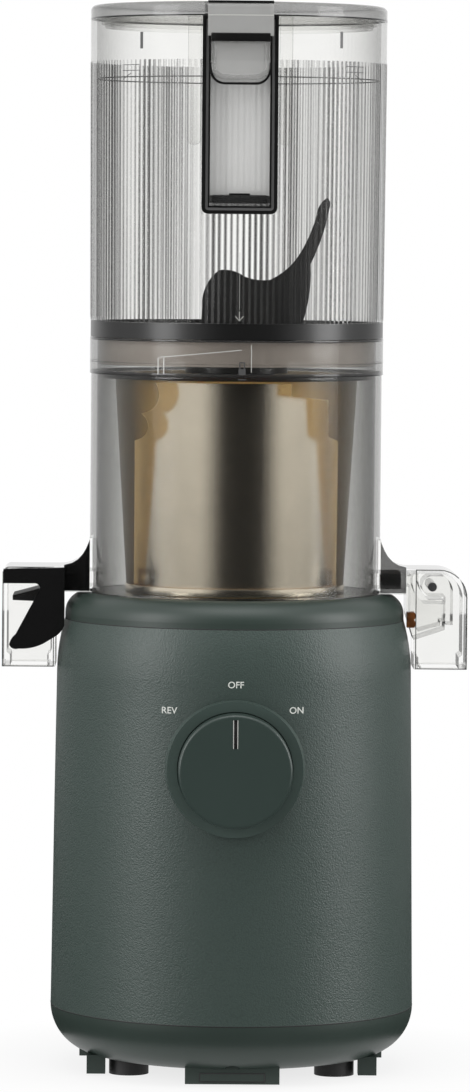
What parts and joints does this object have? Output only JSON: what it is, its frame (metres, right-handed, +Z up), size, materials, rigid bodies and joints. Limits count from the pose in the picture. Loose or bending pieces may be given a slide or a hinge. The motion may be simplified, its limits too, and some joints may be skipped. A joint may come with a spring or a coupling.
{
  "type": "cold press juicer",
  "caption": "Upright cold press juicer: geared motor base with a front speed knob, clear screw chamber with two hooded outlets, and a tall hopper with a hinged lid.",
  "frame": {"origin": "on the drive axis, in the plane of the feet", "axes": "+Z up along the drive axis, -Y towards the front knob, +X towards the pulp outlet"},
  "size_m": [0.1996, 0.1712, 0.457],
  "materials": {
    "green_case": "leather-grain and satin",
    "knob_green": "satin",
    "rubber_black": "matt",
    "silicone_brown": "satin",
    "silicone_orange": "satin",
    "steel_screw": "plain",
    "polished_steel": "polished",
    "motor_steel": "plain",
    "copper": "enamelled winding",
    "black_plastic": "satin",
    "grey_plastic": "satin",
    "gear_plastic": "satin",
    "board_green": "satin",
    "clear_smoke": "clear polished plastic",
    "amber": "translucent"
  },
  "bodies": {
    "base": {"body_shell": "green_case", "top_cover": "green_case", "bottom_cover": "green_case", "rubber_feet": "rubber_black", "cover_screws": "steel_screw", "knob_bezel": "knob_green", "rotary_switch": "black_plastic", "switch_nut": "steel_screw", "cord_gland": "black_plastic", "gland_nut": "black_plastic", "motor_can": "motor_steel", "stator_core": "motor_steel", "stator_windings": "copper", "motor_bearings": "steel_screw", "gearbox_housing": "grey_plastic", "gearbox_lid": "grey_plastic", "output_bearing": "steel_screw", "gear_pins": "steel_screw", "shaft_seal": "rubber_black", "gearbox_screws": "steel_screw", "control_board": "board_green", "run_capacitor": "grey_plastic"},
    "knob": {"power_knob": "knob_green", "switch_shaft": "steel_screw"},
    "rotor": {"motor_rotor": "motor_steel", "motor_shaft": "steel_screw", "cooling_fan": "black_plastic"},
    "first_gear": {"first_reduction_gear": "gear_plastic"},
    "second_gear": {"second_reduction_gear": "gear_plastic"},
    "drive": {"output_gear": "gear_plastic", "drive_shaft": "steel_screw"},
    "chamber": {"juice_chamber": "clear_smoke", "outlet_seals": "silicone_brown", "strainer_frame": "amber", "strainer_screen": "polished_steel", "pulp_nozzle": "clear_smoke", "pulp_plug": "silicone_orange", "pulp_door_pin": "steel_screw"},
    "screw": {"juicing_screw": "black_plastic", "cutting_wing": "black_plastic"},
    "lever": {"juice_lever": "black_plastic", "juice_gate": "rubber_black"},
    "door": {"pulp_door": "clear_smoke"},
    "hopper": {"hopper_shell": "clear_smoke", "hopper_ring": "black_plastic", "hopper_channel": "black_plastic", "channel_window": "clear_smoke", "hinge_bracket": "black_plastic", "lid_hinge_pin": "steel_screw"},
    "button": {"lid_button": "clear_smoke"},
    "lid": {"hopper_lid": "clear_smoke", "lid_arm": "clear_smoke", "lid_seal": "rubber_black"}
  },
  "joints": [
    {"name": "chamber_lift", "type": "slide", "parent": "base", "child": "chamber", "axis": [0, 0, 1], "range_m": [0, 0.02]},
    {"name": "power_knob_turn", "type": "hinge", "parent": "base", "child": "knob", "pos_m": [0, -0.08, 0.1358], "axis": [0, 1, 0], "range_deg": [-45, 45]},
    {"name": "motor_turn", "type": "hinge", "parent": "base", "child": "rotor", "pos_m": [0, 0, 0.08], "axis": [0, 0, 1], "continuous": true},
    {"name": "first_gear_turn", "type": "hinge", "parent": "base", "child": "first_gear", "pos_m": [0.01904, 0.0162, 0.13], "axis": [0, 0, 1], "continuous": true},
    {"name": "second_gear_turn", "type": "hinge", "parent": "base", "child": "second_gear", "pos_m": [0, 0.03938, 0.14], "axis": [0, 0, 1], "continuous": true},
    {"name": "drive_shaft_turn", "type": "hinge", "parent": "base", "child": "drive", "pos_m": [0, 0, 0.15], "axis": [0, 0, 1], "continuous": true},
    {"name": "juicing_screw_turn", "type": "hinge", "parent": "chamber", "child": "screw", "pos_m": [0, 0, 0.25], "axis": [0, 0, 1], "continuous": true},
    {"name": "juice_lever_lift", "type": "hinge", "parent": "chamber", "child": "lever", "pos_m": [-0.078, -0.016, 0.205], "axis": [0, 1, 0], "range_deg": [0, 30]},
    {"name": "pulp_door_swing", "type": "hinge", "parent": "chamber", "child": "door", "pos_m": [0.0847, 0, 0.2091], "axis": [0, -1, 0], "range_deg": [0, 10]},
    {"name": "hopper_twist", "type": "hinge", "parent": "chamber", "child": "hopper", "pos_m": [0, 0, 0.3153], "axis": [0, 0, 1], "range_deg": [0, 30]},
    {"name": "lid_button_press", "type": "slide", "parent": "hopper", "child": "button", "axis": [0, 1, 0], "range_m": [0, 0.003], "stiffness_N_per_m": 400, "springref_m": -0.001},
    {"name": "lid_open", "type": "hinge", "parent": "hopper", "child": "lid", "pos_m": [0, 0.0676, 0.4538], "axis": [-1, 0, 0], "range_deg": [0, 100]}
  ],
  "couplings": [
    {"joint": "first_gear_turn", "follows": "motor_turn", "ratio": -0.25},
    {"joint": "second_gear_turn", "follows": "motor_turn", "ratio": 0.083333},
    {"joint": "drive_shaft_turn", "follows": "motor_turn", "ratio": -0.030303},
    {"joint": "juicing_screw_turn", "follows": "motor_turn", "ratio": -0.030303}
  ]
}
